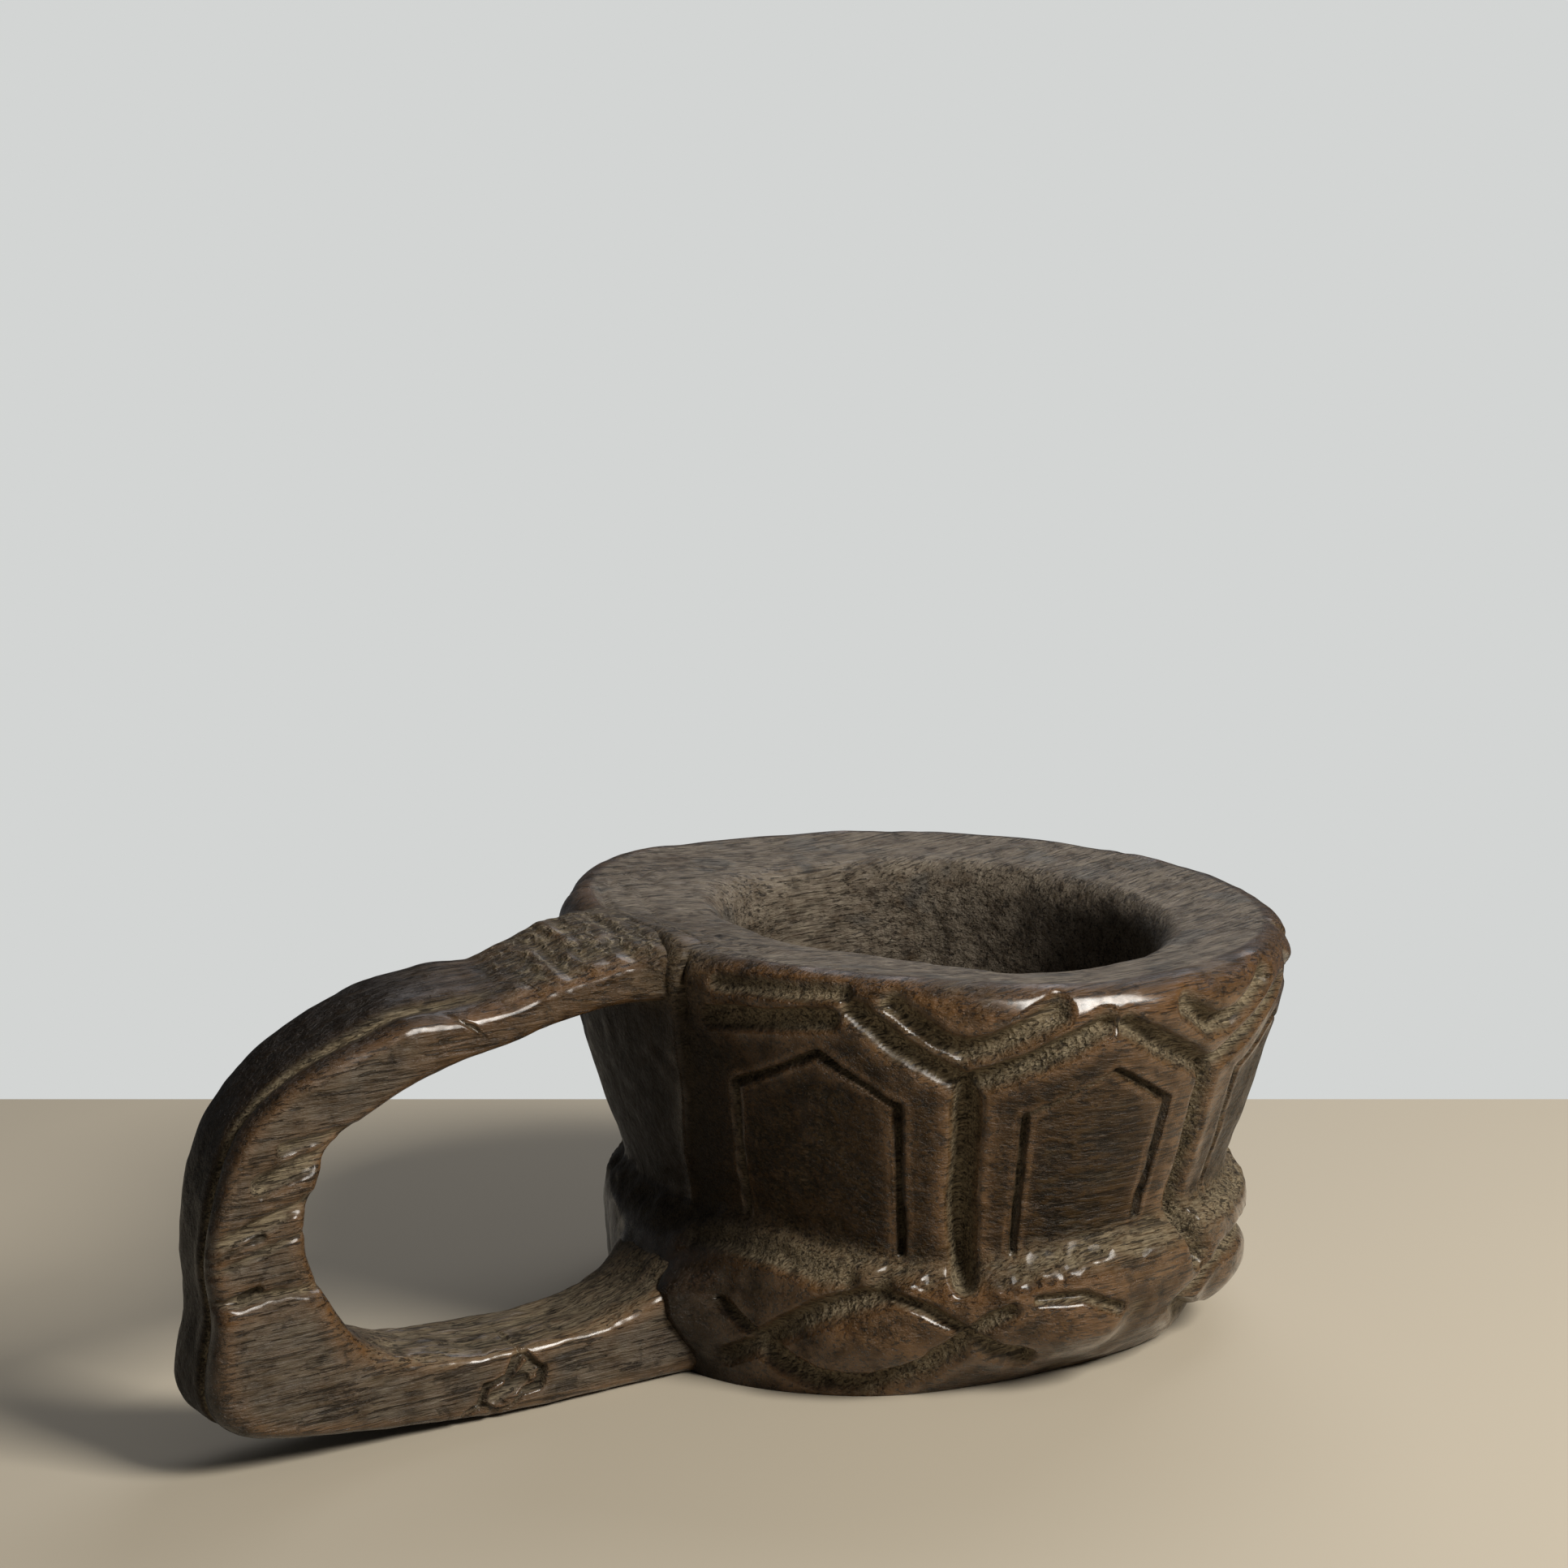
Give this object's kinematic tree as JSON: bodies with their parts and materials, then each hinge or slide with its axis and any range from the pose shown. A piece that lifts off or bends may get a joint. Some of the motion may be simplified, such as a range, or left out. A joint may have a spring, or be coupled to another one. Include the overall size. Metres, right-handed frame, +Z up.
{
  "type": "carved wooden kuksa cup",
  "caption": "Thick-walled carved wooden drinking cup with a closed loop handle, a broad sloping rim, a waist and a bulged foot band.",
  "frame": {"origin": "centre of the flat face that the cup stands on", "axes": "+Z up along the bowl's axis, handle along -X, +Y by the right-hand rule"},
  "size_m": [0.3105, 0.1919, 0.1123],
  "materials": {
    "hardwood": "worn, hand-rubbed dark hardwood with knife and gouge marks"
  },
  "bodies": {
    "root": {"bowl": "hardwood", "handle": "hardwood"}
  },
  "joints": []
}
